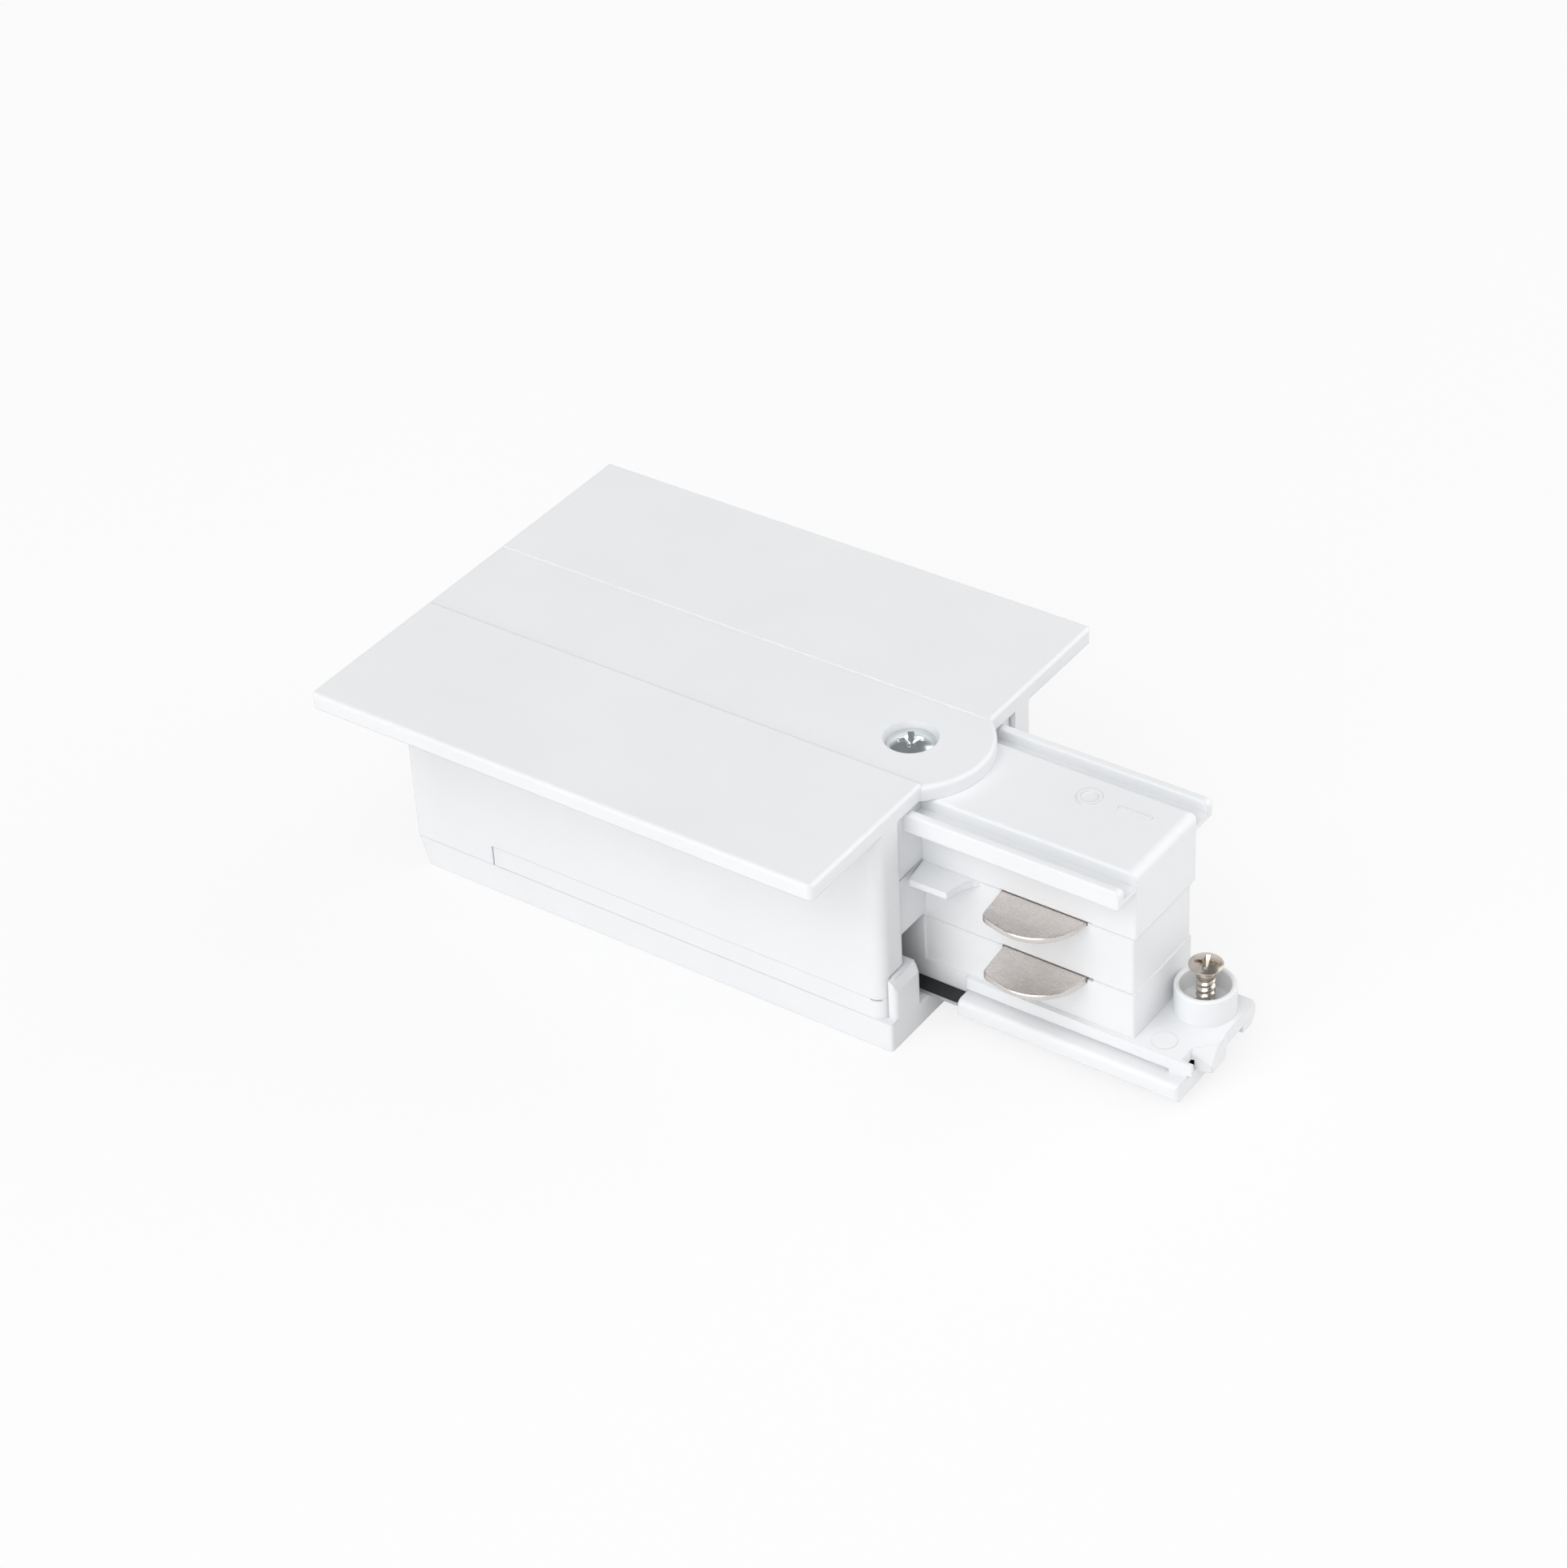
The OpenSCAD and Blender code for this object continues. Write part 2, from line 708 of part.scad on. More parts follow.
// The earth strip runs under the plug, from the earth clamp to the tab in the foot's slot
module earth_strip() {
    wide_x0 = 62;
    narrow_half = 5.2;
    nose_r = 1.5;
    color(steel) {
        difference() {
            along_z(strip_z, strip_z + strip_t) union() {
                translate([riser_x - blade_t, -tail_w / 2]) square([wide_x0 - riser_x + 2, tail_w]);
                rounded_rect([wide_x0, -strip_half], [foot_x0 - 0.1, strip_half], [1, 0.2, 0.2, 1]);
                rounded_rect([foot_x0 - 1, -narrow_half], [strip_x1, narrow_half], nose_r * [0, 1, 1, 0]);
            }
            pin(boss.x, boss.y, strip_z - over, strip_z + strip_t + over, screw_r + 0.5);
        }
        riser(0, strip_z);
    }
}

// Terminals

module terminal_block() {
    roof = clamp_z0 + clamp_h + 0.1;
    block_half = 2.5 * clamp_pitch + 0.4;
    color("#e9e7df") difference() {
        union() {
            mid_box(block_x0, block_x1, block_half, block_z0, block_z1);
            mid_box(block_screw_x - 3.2, block_x0 + over, block_half, block_z1 - 3, block_z1);
        }
        for (i = [-2:2]) {
            translate([0, i * clamp_pitch, 0]) {
                box([clamp_x0 - 0.1, -clamp_w / 2 - play, block_z0 - over],
                    [block_x1 + over, clamp_w / 2 + play, roof]);
                translate([block_x0 - over, 0, wire_z]) rotate([0, 90, 0]) cylinder(h = 3, r = 1.7);
            }
        }
        both_sides() pin(block_screw_x, block_screw_y, block_z1 - 4, block_z1 + over, screw_r + 0.3);
    }
}

// A brass cage: the wire goes through its window, and the screw presses it to the contact's tail
module wire_clamp(i) {
    window_w = 3.2;
    window_z0 = clamp_z0 + 3;
    color(brass) translate([0, (i - 3) * clamp_pitch, 0]) difference() {
        box([clamp_x0, -clamp_w / 2, clamp_z0], [clamp_x0 + clamp_l, clamp_w / 2, clamp_z0 + clamp_h]);
        box([clamp_x0 - over, -window_w / 2, window_z0], [clamp_x0 + clamp_l + over, window_w / 2, upper_z + 0.1]);
        pin(clamp_x0 + clamp_l / 2, 0, clamp_z0 - over, window_z0 + over, screw_r + play);
    }
}

// Screws

// A cylinder-head screw with a straight slot, pointing up from its head
module slotted_screw(x, y, z_head, z_tip, head_r, head_h) {
    slot_w = 0.6;
    slot_d = head_h * 0.45;
    color(steel) difference() {
        union() {
            pin(x, y, z_head, z_head + head_h, head_r);
            pin(x, y, z_head, z_tip - 0.3, screw_r);
            translate([x, y, z_tip - 0.3]) cylinder(h = 0.3, r1 = screw_r, r2 = screw_r - 0.3);
        }
        box([x - head_r - over, y - slot_w / 2, z_head - over], [x + head_r + over, y + slot_w / 2, z_head + slot_d]);
    }
}

module wire_screw(i) {
    slotted_screw(clamp_x0 + clamp_l / 2, (i - 3) * clamp_pitch, 11, 20.2, 1.9, 1.6);
}

// Cross recess: two crossed slots with sloping floors, pointing down from z
module cross_recess(x, y, z, arm, depth) {
    arm_w = 0.8;
    for (a = [0, 90]) {
        translate([x, y, z]) rotate([0, 0, a]) along_y(-arm_w / 2, arm_w / 2)
            polygon([[-arm, over], [-arm, 0], [-arm * 0.35, -depth], [arm * 0.35, -depth], [arm, 0], [arm, over]]);
    }
}

// Pan-head screw through the tongue into the plug
module tongue_screw() {
    head_r = 3.05;
    head_z = channel_z - 1.1;
    crown_z = channel_z - 0.2;
    tip_z = 24.4;
    color(steel) difference() {
        union() {
            translate([tongue_x, 0, 0]) rotate_extrude($fn = 64) difference() {
                translate([0, head_z]) square([head_r, crown_z - head_z]);
                translate([0, crown_z - 6]) difference() {
                    translate([0, 4]) square([head_r + over, 3]);
                    circle(r = 6, $fn = 96);
                }
            }
            pin(tongue_x, 0, tip_z, head_z + 0.2, screw_r);
        }
        cross_recess(tongue_x, 0, crown_z, 1.75, 1.1);
    }
}

// Countersunk screw that locks the foot in the track; it stands proud until the feed is in place
module locking_screw() {
    head_r = 2.15;
    head_z = 13.8;
    cone_h = 1.1;
    edge_h = 0.35;
    tip_z = 4.6;
    color(nickel) difference() {
        union() {
            translate([boss.x, boss.y, 0]) rotate_extrude($fn = 64)
                polygon([[0, tip_z], [screw_r - 0.4, tip_z], [screw_r, tip_z + 0.6],
                    [screw_r, head_z - edge_h - cone_h], [head_r, head_z - edge_h], [head_r, head_z - 0.15],
                    [head_r - 0.2, head_z], [0, head_z]]);
        }
        cross_recess(boss.x, boss.y, head_z, 1.5, 1);
    }
}

// A screw that holds the plug's three layers together, driven from below before the strip goes on
module layer_screw(x) {
    color(steel) difference() {
        union() {
            pin(x, 0, layer_head_z0, layer_head_z1, layer_head_r);
            pin(x, 0, layer_head_z1 - 0.1, upper_z + 4.2, screw_r);
        }
        translate([x, 0, layer_head_z0]) mirror([0, 0, 1]) cross_recess(0, 0, 0, 1.4, 0.9);
    }
}

module layer_screw_front() {
    layer_screw(layer_screw_x[1]);
}

module layer_screw_rear() {
    layer_screw(layer_screw_x[0]);
}

module block_screw(y) {
    slotted_screw(block_screw_x, y, block_z1 - 3 - 1.6, block_z1 + 3.4, 2.2, 1.6);
}

module block_screw_near() {
    block_screw(-block_screw_y);
}

module block_screw_far() {
    block_screw(block_screw_y);
}

// Cable clamp

// The bar presses the cable into the saddle, and is shaped to it
module cable_clamp() {
    bar_h = 2.6;
    bar_w = 5.6;
    bar_end = 3.1;
    color(white) difference() {
        union() {
            mid_box(saddle_x - bar_w / 2, saddle_x + bar_w / 2, saddle_y, saddle_z - bar_h, saddle_z);
            both_sides() pin(saddle_x, saddle_y, saddle_z - bar_h, saddle_z, bar_end);
        }
        both_sides() pin(saddle_x, saddle_y, saddle_z - bar_h - over, saddle_z + over, screw_r + play);
        translate([saddle_x - bar_w, 0, entry_z]) rotate([0, 90, 0])
            cylinder(h = 2 * bar_w, d = entry_d - 0.2);
    }
}

module cable_clamp_screw(y) {
    slotted_screw(saddle_x, y, saddle_z - 2.6 - 1.6, saddle_z + 8, 2.2, 1.6);
}

module cable_clamp_screw_near() {
    cable_clamp_screw(-saddle_y);
}

module cable_clamp_screw_far() {
    cable_clamp_screw(saddle_y);
}

place() flange_housing();
place() rear_cover();
place() plug_top();
place() plug_middle();
place() plug_base();
place() contact_upper_near();
place() contact_upper_far();
place() contact_lower_near();
place() contact_lower_far();
place() earth_strip();
place() terminal_block();
for (i = [1:5]) {
    place() wire_clamp(i);
    place() wire_screw(i);
}
place() cable_clamp();
place() cable_clamp_screw_near();
place() cable_clamp_screw_far();
place() tongue_screw();
place() locking_screw();
place() layer_screw_front();
place() layer_screw_rear();
place() block_screw_near();
place() block_screw_far();
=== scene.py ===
"""Looks of a track light power feed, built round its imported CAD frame."""

import json
import math

import bmesh
import bpy
from mathutils import Matrix, Vector


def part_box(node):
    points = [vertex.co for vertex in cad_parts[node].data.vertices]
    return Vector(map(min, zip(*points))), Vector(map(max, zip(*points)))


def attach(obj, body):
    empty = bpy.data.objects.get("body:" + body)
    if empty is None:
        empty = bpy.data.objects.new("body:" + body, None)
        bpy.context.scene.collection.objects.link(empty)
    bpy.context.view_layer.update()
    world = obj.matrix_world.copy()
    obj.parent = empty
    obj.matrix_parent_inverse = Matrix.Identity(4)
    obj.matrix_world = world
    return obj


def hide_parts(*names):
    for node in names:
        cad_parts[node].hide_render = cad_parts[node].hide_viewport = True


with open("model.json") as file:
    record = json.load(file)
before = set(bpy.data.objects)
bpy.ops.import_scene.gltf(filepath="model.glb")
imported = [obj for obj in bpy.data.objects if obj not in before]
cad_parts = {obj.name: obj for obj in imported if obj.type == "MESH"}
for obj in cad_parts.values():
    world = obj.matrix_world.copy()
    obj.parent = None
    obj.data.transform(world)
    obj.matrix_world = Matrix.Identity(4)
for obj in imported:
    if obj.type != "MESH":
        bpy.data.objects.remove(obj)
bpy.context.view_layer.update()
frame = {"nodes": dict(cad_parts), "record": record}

MM = 0.001
NODES = frame["nodes"]

# Camera, fitted to the object's edges in the photograph
IMAGE_W = 1931
FOCAL_PX = 5049.3
SENSOR_MM = 36.0
VIEW_AZIMUTH = math.radians(36.635)
VIEW_ELEVATION = math.radians(36.447)
VIEW_ROLL = math.radians(-3.182)
VIEW_DISTANCE = 486.5 * MM
VIEW_TARGET = Vector((4.53, -16.2, 34.0)) * MM


def make_camera():
    """The photograph's view: a long lens, a little above the object and slightly rolled."""
    back = Vector((math.sin(VIEW_AZIMUTH) * math.cos(VIEW_ELEVATION),
                   -math.cos(VIEW_AZIMUTH) * math.cos(VIEW_ELEVATION),
                   math.sin(VIEW_ELEVATION)))
    level = Vector((math.cos(VIEW_AZIMUTH), math.sin(VIEW_AZIMUTH), 0.0))
    rise = back.cross(level)
    right = level * math.cos(VIEW_ROLL) + rise * math.sin(VIEW_ROLL)
    up = rise * math.cos(VIEW_ROLL) - level * math.sin(VIEW_ROLL)
    data = bpy.data.cameras.new("camera")
    data.sensor_fit = "HORIZONTAL"
    data.sensor_width = SENSOR_MM
    data.lens = FOCAL_PX / IMAGE_W * SENSOR_MM
    data.clip_start = 10 * MM
    camera = bpy.data.objects.new("camera", data)
    turn = Matrix((right, up, back)).transposed().to_4x4()
    camera.matrix_world = Matrix.Translation(VIEW_TARGET + back * VIEW_DISTANCE) @ turn
    bpy.context.collection.objects.link(camera)
    bpy.context.scene.camera = camera


# Materials

class Nodes:
    """Short calls for building one material's node tree."""

    def __init__(self, name):
        self.material = bpy.data.materials.new(name)
        self.material.use_nodes = True
        self.tree = self.material.node_tree
        self.shader = self.tree.nodes["Principled BSDF"]
        self.place = self.add("ShaderNodeTexCoord").outputs["Object"]

    def add(self, kind, **inputs):
        node = self.tree.nodes.new(kind)
        for key, value in inputs.items():
            node.inputs[key].default_value = value
        return node

    def link(self, source, target):
        self.tree.links.new(source, target)

    def noise(self, size, detail=2.0, stretch=(1, 1, 1)):
        """Noise whose grains are about size metres across, drawn out along an axis by stretch."""
        mapping = self.add("ShaderNodeMapping")
        mapping.inputs["Scale"].default_value = [1.0 / (size * s) for s in stretch]
        self.link(self.place, mapping.inputs["Vector"])
        node = self.add("ShaderNodeTexNoise", Scale=1.0, Detail=detail)
        self.link(mapping.outputs["Vector"], node.inputs["Vector"])
        return node.outputs["Fac"]

    def ramp(self, source, low, high, start=0.3, stop=0.7):
        """A value or colour between low and high as source goes from start to stop."""
        node = self.add("ShaderNodeValToRGB")
        for element, value, place in zip(node.color_ramp.elements, (low, high), (start, stop)):
            element.position = place
            element.color = value if isinstance(value, tuple) else (value, value, value, 1.0)
        self.link(source, node.inputs["Fac"])
        return node.outputs["Color"]

    def soft_edges(self, radius):
        node = self.tree.nodes.new("ShaderNodeBevel")
        node.samples = 6
        node.inputs["Radius"].default_value = radius
        return node.outputs["Normal"]

    def bump(self, height, strength, distance, normal=None):
        node = self.add("ShaderNodeBump", Strength=strength, Distance=distance)
        self.link(height, node.inputs["Height"])
        if normal is not None:
            self.link(normal, node.inputs["Normal"])
        return node.outputs["Normal"]

    def set(self, **values):
        for key, value in values.items():
            self.shader.inputs[key.replace("_", " ")].default_value = value

    def wire(self, **sources):
        for key, source in sources.items():
            self.link(source, self.shader.inputs[key.replace("_", " ")])


def white_plastic():
    """Satin white moulded plastic with a fine spark-eroded grain and softly rounded edges."""
    n = Nodes("white_plastic")
    n.set(IOR=1.5)
    tint = n.ramp(n.noise(14 * MM), (0.800, 0.812, 0.828, 1), (0.822, 0.832, 0.846, 1))
    gloss = n.ramp(n.noise(1.2 * MM, 4.0), 0.36, 0.46)
    grain = n.bump(n.noise(0.16 * MM, 3.0), 0.10, 0.03 * MM, n.soft_edges(0.22 * MM))
    n.wire(Base_Color=tint, Roughness=gloss, Normal=grain)
    return n.material


def cream_plastic():
    """Plain cream moulding of the terminal block."""
    n = Nodes("cream_plastic")
    tint = n.ramp(n.noise(6 * MM), (0.72, 0.69, 0.60, 1), (0.76, 0.73, 0.64, 1))
    grain = n.bump(n.noise(0.2 * MM, 3.0), 0.2, 0.03 * MM, n.soft_edges(0.15 * MM))
    n.set(Roughness=0.5)
    n.wire(Base_Color=tint, Normal=grain)
    return n.material


def metal(name, dark, light, rough, grain, stretch=(1, 1, 1), edge=0.12):
    """Plated or plain metal with a drawn grain, a cloudy tint and softly broken edges. Sizes are in mm."""
    smoother = 0.06
    rougher = 0.08
    n = Nodes(name)
    n.set(Metallic=1.0)
    tint = n.ramp(n.noise(1.8 * MM, 4.0), dark, light, 0.25, 0.75)
    gloss = n.ramp(n.noise(grain * MM, 3.0, stretch), rough - smoother, rough + rougher)
    bump = n.bump(n.noise(grain * MM, 3.0, stretch), 0.12, 0.02 * MM, n.soft_edges(edge * MM))
    n.wire(Base_Color=tint, Roughness=gloss, Normal=bump)
    return n.material


def strip_metal():
    """Steel strip with painted shade: faces that look up or down are painted near black for the shade in the
    gap above it, while its sideways edges show bare steel.
    """
    bare = (0.52, 0.52, 0.53, 1)
    # painted shade: near black for the faces that look up or down
    painted_shade_black = (0.06, 0.06, 0.064, 1)
    n = Nodes("strip_steel")
    n.set(Metallic=1.0)
    facing = n.add("ShaderNodeSeparateXYZ")
    n.link(n.tree.nodes["Texture Coordinate"].outputs["Normal"], facing.inputs["Vector"])
    level = n.add("ShaderNodeMath")
    level.operation = "ABSOLUTE"
    n.link(facing.outputs["Z"], level.inputs[0])
    # bare steel on sideways faces, painted shade where the face looks up or down
    tint = n.ramp(level.outputs[0], bare, painted_shade_black, 0.4, 0.6)
    gloss = n.ramp(n.noise(0.3 * MM, 3.0), 0.34, 0.5)
    n.wire(Base_Color=tint, Roughness=gloss, Normal=n.soft_edges(0.06 * MM))
    return n.material


def make_materials():
    """One material for each slot of the record."""
    along_track = (6, 1, 1)
    fine = 0.1
    screw_edge = 0.06
    return {
        "white_plastic": white_plastic(),
        "cream_plastic": cream_plastic(),
        "contact_metal": metal("contact_metal", (0.66, 0.615, 0.59, 1), (0.72, 0.675, 0.65, 1),
                               0.28, fine, along_track),
        "strip_steel": strip_metal(),
        "clamp_brass": metal("clamp_brass", (0.68, 0.52, 0.26, 1), (0.78, 0.62, 0.34, 1), 0.32, fine),
        "zinc_steel": metal("zinc_steel", (0.66, 0.70, 0.71, 1), (0.80, 0.83, 0.84, 1),
                            0.16, fine, edge=screw_edge),
        "nickel_screw": metal("nickel_screw", (0.48, 0.425, 0.37, 1), (0.64, 0.585, 0.525, 1),
                              0.18, fine, edge=screw_edge),
    }


def dress_nodes(materials):
    """Each CAD node shows the material of its slot in the record."""
    for row in frame["record"]["subparts"]:
        node = NODES[row["node"]]
        node.data.materials.clear()
        node.data.materials.append(materials[row["material_slot"]])


# Fasteners, turned in millimetres with the crown at height 0 and the tip below it

SHARP_ANGLE = math.radians(35)
SHANK_R = 1.19
SCREW_PITCH = 0.9
SCREW_THREAD = 0.32
TERMINAL_PITCH = 0.5
TERMINAL_THREAD = 0.25
TERMINAL_COUNT = 5
THREAD_ROWS = 8
TURN_SEGMENTS = 32
DOME_STEPS = 8
PAN_STEPS = 10


def turned_point(radius, height, angle, thread):
    """A point of the turned wall, cut by a helical groove of trapezoid section between the thread's ends."""
    groove_share = 0.85
    flank = 0.6
    z0, z1, pitch, depth = thread
    fade = max(0.0, min(1.0, (height - z0) / pitch, (z1 - height) / pitch))
    turn = (height / pitch - angle / math.tau) % 1.0
    groove = max(0.0, min(1.0, (groove_share - abs(2 * turn - 1)) / flank))
    r = radius - depth * fade * groove
    return (r * math.cos(angle), r * math.sin(angle), height)


def lathe(name, rows, thread, segments):
    """A closed turned mesh from (radius, height) rows, whose first and last rows lie on the axis."""
    shape = bmesh.new()
    rings = []
    for radius, height in rows:
        if radius == 0:
            rings.append([shape.verts.new((0, 0, height))] * segments)
            continue
        rings.append([shape.verts.new(turned_point(radius, height, math.tau * i / segments, thread))
                      for i in range(segments)])
    for low, high in zip(rings, rings[1:]):
        for i in range(segments):
            j = (i + 1) % segments
            corners = list(dict.fromkeys((low[i], low[j], high[j], high[i])))
            shape.faces.new(corners)
    return finished_mesh(name, shape)


def finished_mesh(name, shape):
    """A linked object with outward normals, smooth but for its sharp edges."""
    bmesh.ops.recalc_face_normals(shape, faces=shape.faces)
    mesh = bpy.data.meshes.new(name)
    shape.to_mesh(mesh)
    shape.free()
    mesh.shade_smooth()
    mesh.set_sharp_from_angle(angle=SHARP_ANGLE)
    piece = bpy.data.objects.new(name, mesh)
    bpy.context.collection.objects.link(piece)
    return piece


def dome(radius, low, high, steps):
    """Rows of a spherical cap from its rim, at low, up to the axis, at high."""
    rise = high - low
    ball = (radius ** 2 + rise ** 2) / (2 * rise)
    span = math.asin(radius / ball)
    rows = []
    for i in range(steps):
        a = span * (1 - i / steps)
        rows.append((ball * math.sin(a), high - ball * (1 - math.cos(a))))
    return rows + [(0, high)]


def shank(radius, tip, neck, pitch, per_turn):
    """Rows of a shank from its chamfered tip up to its neck, close enough together for a thread."""
    rows = [(0, tip), (radius * 0.6, tip), (radius, tip + radius * 0.35)]
    count = round((neck - rows[-1][1]) / pitch * per_turn)
    start = rows[-1][1]
    rows += [(radius, start + (neck - start) * i / count) for i in range(1, count + 1)]
    return rows


def cross_cutter(arm, half_width, depth):
    """A cross recess: four tapered arms with chamfered inner corners, which meet in a blunt point."""
    above = 0.5
    point = 0.25
    arms = 4
    shape = bmesh.new()
    levels = [(above, 1.14, 1.1), (0.0, 1.0, 1.0), (-depth, 0.36, 0.5)]
    rings = []
    for height, reach, spread in levels:
        ring = []
        for k in range(arms):
            u = Vector((math.cos(k * math.pi / 2), math.sin(k * math.pi / 2), 0))
            v = Vector((-u.y, u.x, 0))
            half = half_width * spread
            inner = 1.75 * half
            tip = max(arm * reach, inner * 1.05)
            for along, across in ((tip, -half), (tip, half), (inner, half), (half, inner)):
                corner = u * along + v * across
                corner.z = height
                ring.append(shape.verts.new(corner))
        rings.append(ring)
    count = len(rings[0])
    for low, high in zip(rings, rings[1:]):
        for i in range(count):
            shape.faces.new((low[i], low[(i + 1) % count], high[(i + 1) % count], high[i]))
    for ring, height in ((rings[0], above), (rings[-1], -depth - point)):
        end = shape.verts.new((0, 0, height))
        for i in range(count):
            shape.faces.new((ring[i], ring[(i + 1) % count], end))
    return finished_mesh("cutter", shape)


def slot_cutter(reach, half_width, depth):
    """A straight driver slot across the whole head."""
    shape = bmesh.new()
    bmesh.ops.create_cube(shape, size=1.0)
    bmesh.ops.scale(shape, verts=shape.verts, vec=(2 * reach, 2 * half_width, 2 * depth))
    return finished_mesh("cutter", shape)


def cut(piece, cutter):
    """Cuts one closed mesh out of another, and drops the cutter."""
    modifier = piece.modifiers.new("cut", "BOOLEAN")
    modifier.operation = "DIFFERENCE"
    modifier.solver = "EXACT"
    modifier.object = cutter
    bpy.context.view_layer.update()
    whole = piece.data
    piece.data = bpy.data.meshes.new_from_object(piece.evaluated_get(bpy.context.evaluated_depsgraph_get()))
    piece.modifiers.clear()
    bpy.data.meshes.remove(whole)
    bpy.data.objects.remove(cutter)
    piece.data.set_sharp_from_angle(angle=SHARP_ANGLE)


def head_rows(kind, radius, height, shank_r):
    """Rows of a head from its underside up to its crown, at 0."""
    if kind == "raised":
        rim = -0.36
        flat = [(shank_r * 0.9, -height), (radius, rim - 0.12), (radius, rim)]
        return flat + dome(radius - 0.12, rim + 0.06, 0, DOME_STEPS)
    if kind == "pan":
        flat = [(shank_r * 1.05, -height), (radius - 0.08, -height), (radius, -height + 0.08),
                (radius, -height + 0.16)]
        return flat + dome(radius - 0.1, -height + 0.26, 0, PAN_STEPS)
    edge = 0.15
    return [(shank_r * 1.05, -height), (radius - edge / 2, -height), (radius, -height + edge / 2),
            (radius, -edge), (radius - edge, 0), (0, 0)]


def fasten(node, body, slot, kind, head_h, pitch, depth, recess, head_up, materials, turn=0.0):
    """A threaded screw that stands for a plain one of the frame, in its place and at its size."""
    low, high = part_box(node)
    length = (high.z - low.z) / MM
    radius = (high.x - low.x) / 2 / MM
    neck = -head_h - 0.05
    rows = shank(SHANK_R, -length, neck, pitch, THREAD_ROWS)
    rows += head_rows(kind, radius, head_h, SHANK_R)
    thread = (-length + 0.1, neck - 0.3, pitch, depth)
    piece = lathe(node + "_threaded", rows, thread, TURN_SEGMENTS)
    if recess == "cross":
        reach = 0.80 if kind == "raised" else 0.66
        cut(piece, cross_cutter(radius * reach, radius * 0.16, head_h * 0.72))
    else:
        cut(piece, slot_cutter(radius + 1, 0.3, head_h * 0.45))
    flip = Matrix.Identity(4) if head_up else Matrix.Rotation(math.pi, 4, "X")
    crown = Vector(((low.x + high.x) / 2, (low.y + high.y) / 2, high.z if head_up else low.z))
    stand = Matrix.Translation(crown) @ flip @ Matrix.Rotation(turn, 4, "Z")
    piece.data.transform(stand @ Matrix.Scale(MM, 4))
    piece.data.materials.clear()
    piece.data.materials.append(materials[slot])
    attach(piece, body)
    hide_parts(node)


def make_fasteners(materials):
    """All the screws: the two that show, then the hidden ones."""
    coarse = (SCREW_PITCH, SCREW_THREAD)
    fine = (TERMINAL_PITCH, TERMINAL_THREAD)
    fasten("locking_screw", "locking_screw", "nickel_screw", "raised", 1.5, *coarse, "cross", True, materials,
           turn=0.35)
    fasten("tongue_screw", "root", "zinc_steel", "pan", 0.9, *coarse, "cross", True, materials, turn=0.6)
    for end in ("front", "rear"):
        fasten("layer_screw_" + end, "root", "zinc_steel", "cheese", 1.9, *coarse, "cross", False, materials)
    for side in ("near", "far"):
        for name, body in (("block_screw_" + side, "root"), ("cable_clamp_screw_" + side, "cable_clamp")):
            fasten(name, body, "zinc_steel", "cheese", 1.6, *coarse, "slot", False, materials)
    for i in range(1, TERMINAL_COUNT + 1):
        name = "wire_screw_%d" % i
        fasten(name, name, "zinc_steel", "cheese", 1.6, *fine, "slot", False, materials)


# Contacts

def round_contact(node, materials):
    """A stamped contact with its edges coined round, in place of the frame's sharp-edged one."""
    coin_r = 0.2 * MM
    shape = bmesh.new()
    shape.from_mesh(NODES[node].data)
    bmesh.ops.remove_doubles(shape, verts=shape.verts, dist=0.001 * MM)
    bmesh.ops.dissolve_limit(shape, angle_limit=math.radians(1), verts=shape.verts, edges=shape.edges)
    piece = finished_mesh(node + "_coined", shape)
    bevel = piece.modifiers.new("coined", "BEVEL")
    bevel.width = coin_r
    bevel.segments = 3
    bevel.limit_method = "ANGLE"
    bevel.angle_limit = math.radians(40)
    bpy.context.view_layer.update()
    sharp = piece.data
    piece.data = bpy.data.meshes.new_from_object(piece.evaluated_get(bpy.context.evaluated_depsgraph_get()))
    piece.modifiers.clear()
    bpy.data.meshes.remove(sharp)
    piece.data.materials.clear()
    piece.data.materials.append(materials["contact_metal"])
    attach(piece, "root")
    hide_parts(node)


# Floor and light

def white_to_the_eye(nodes, share):
    """share where a ray comes from the camera, a reflection or a clear body, and 0 for every other ray."""
    paths = nodes.new("ShaderNodeLightPath")
    total = paths.outputs["Is Camera Ray"]
    for other in ("Is Glossy Ray", "Is Transmission Ray"):
        either = nodes.new("ShaderNodeMath")
        either.operation = "MAXIMUM"
        either.id_data.links.new(total, either.inputs[0])
        either.id_data.links.new(paths.outputs[other], either.inputs[1])
        total = either.outputs[0]
    scaled = nodes.new("ShaderNodeMath")
    scaled.operation = "MULTIPLY"
    scaled.inputs[1].default_value = share
    scaled.id_data.links.new(total, scaled.inputs[0])
    return scaled.outputs[0]


def make_floor():
    """A white floor that shows the object's soft shadow and is nearly pure white elsewhere."""
    half = 2.0
    white_share = 0.8
    corners = [(-half, -half, 0), (half, -half, 0), (half, half, 0), (-half, half, 0)]
    mesh = bpy.data.meshes.new("floor")
    mesh.from_pydata(corners, [], [(0, 1, 2, 3)])
    floor = bpy.data.objects.new("floor", mesh)
    bpy.context.collection.objects.link(floor)
    n = Nodes("floor")
    n.set(Base_Color=(0.88, 0.88, 0.88, 1), Roughness=0.9, Specular_IOR_Level=0.1)
    glow = n.add("ShaderNodeEmission", Color=(1, 1, 1, 1), Strength=1.0)
    both = n.tree.nodes.new("ShaderNodeMixShader")
    n.link(white_to_the_eye(n.tree.nodes, white_share), both.inputs["Fac"])
    n.link(n.shader.outputs["BSDF"], both.inputs[1])
    n.link(glow.outputs["Emission"], both.inputs[2])
    n.link(both.outputs["Shader"], n.tree.nodes["Material Output"].inputs["Surface"])
    mesh.materials.append(n.material)


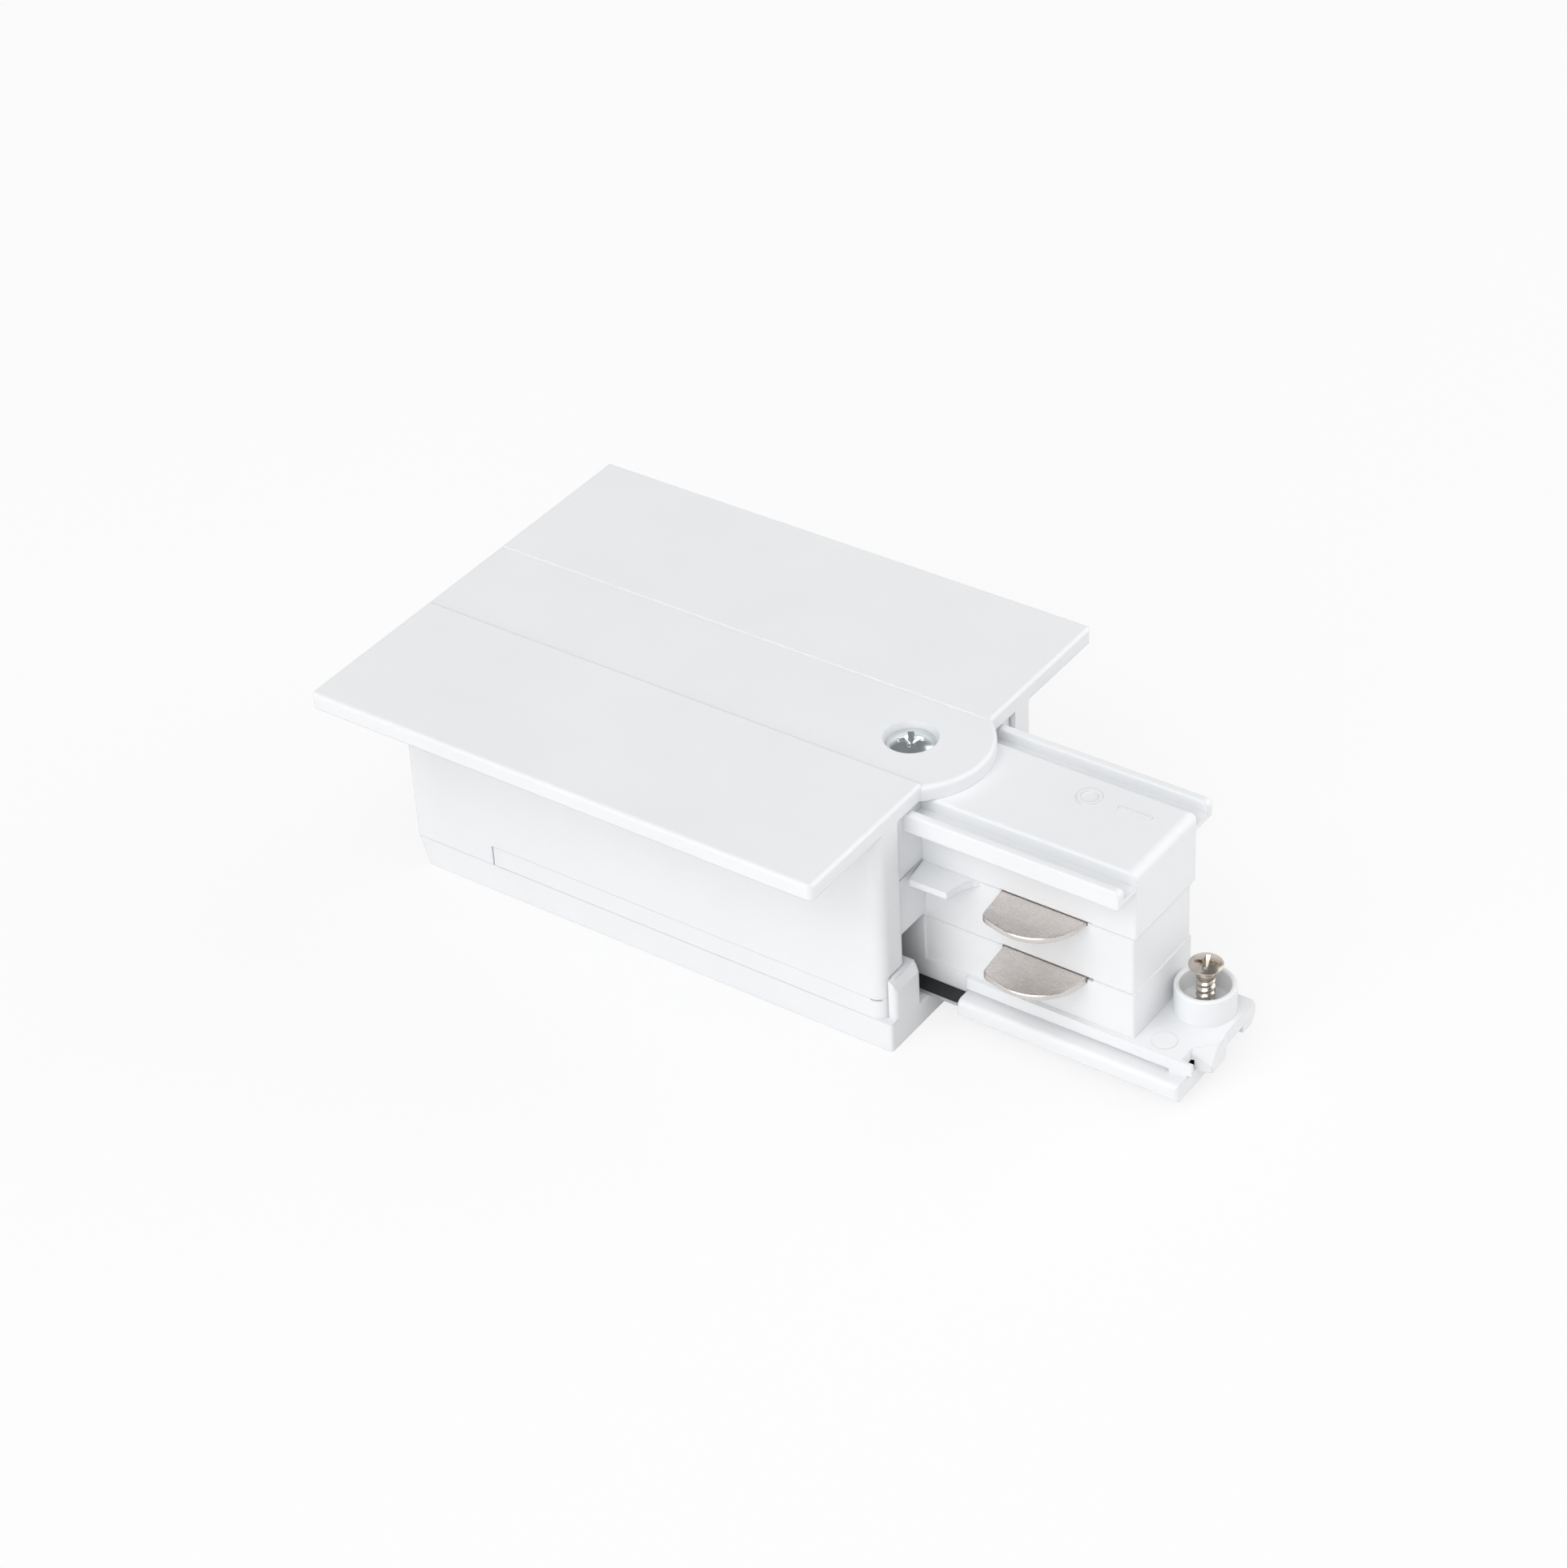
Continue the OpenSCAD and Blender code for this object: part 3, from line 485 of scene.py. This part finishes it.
def make_world(ambient):
    """A plain even room. Reflections see it white near the horizon and dim overhead, as a studio is."""
    white_below = 0.42
    dim_above = 0.64
    world = bpy.data.worlds.new("studio")
    world.use_nodes = True
    nodes = world.node_tree.nodes
    links = world.node_tree.links
    room = nodes["Background"]
    room.inputs["Color"].default_value = (1, 1, 1, 1)
    room.inputs["Strength"].default_value = ambient
    height = nodes.new("ShaderNodeSeparateXYZ")
    links.new(nodes.new("ShaderNodeTexCoord").outputs["Generated"], height.inputs["Vector"])
    ramp = nodes.new("ShaderNodeValToRGB")
    ramp.color_ramp.elements[0].position = white_below
    ramp.color_ramp.elements[0].color = (1, 1, 1, 1)
    ramp.color_ramp.elements[1].position = dim_above
    ramp.color_ramp.elements[1].color = (0.25, 0.26, 0.27, 1)
    links.new(height.outputs["Z"], ramp.inputs["Fac"])
    seen = nodes.new("ShaderNodeBackground")
    links.new(ramp.outputs["Color"], seen.inputs["Color"])
    both = nodes.new("ShaderNodeMixShader")
    links.new(white_to_the_eye(nodes, 1.0), both.inputs["Fac"])
    links.new(room.outputs["Background"], both.inputs[1])
    links.new(seen.outputs["Background"], both.inputs[2])
    links.new(both.outputs["Shader"], nodes["World Output"].inputs["Surface"])
    bpy.context.scene.world = world


def add_lamp(name, azimuth, elevation, size, power):
    """A square soft box, itself unseen, placed by its degrees round from the near side and up."""
    aim = Vector((0, 0, 0.02))
    distance = 1.4
    a = math.radians(azimuth)
    e = math.radians(elevation)
    towards = Vector((math.sin(a) * math.cos(e), -math.cos(a) * math.cos(e), math.sin(e)))
    data = bpy.data.lights.new(name, "AREA")
    data.size = size
    data.energy = power
    lamp = bpy.data.objects.new(name, data)
    lamp.location = aim + towards * distance
    lamp.rotation_euler = towards.to_track_quat("Z", "Y").to_euler()
    lamp.visible_camera = False
    bpy.context.collection.objects.link(lamp)


def make_light():
    make_world(0.36)
    add_lamp("key", 4, 30, 1.6, 12.4)
    add_lamp("top", 0, 60, 1.2, 6.0)
    add_lamp("rear", 138, 29, 1.6, 12.4)


make_camera()
materials = make_materials()
dress_nodes(materials)
make_fasteners(materials)
for level in ("upper", "lower"):
    for side in ("near", "far"):
        round_contact("contact_%s_%s" % (level, side), materials)
make_floor()
make_light()
bpy.context.scene.view_settings.view_transform = "Standard"
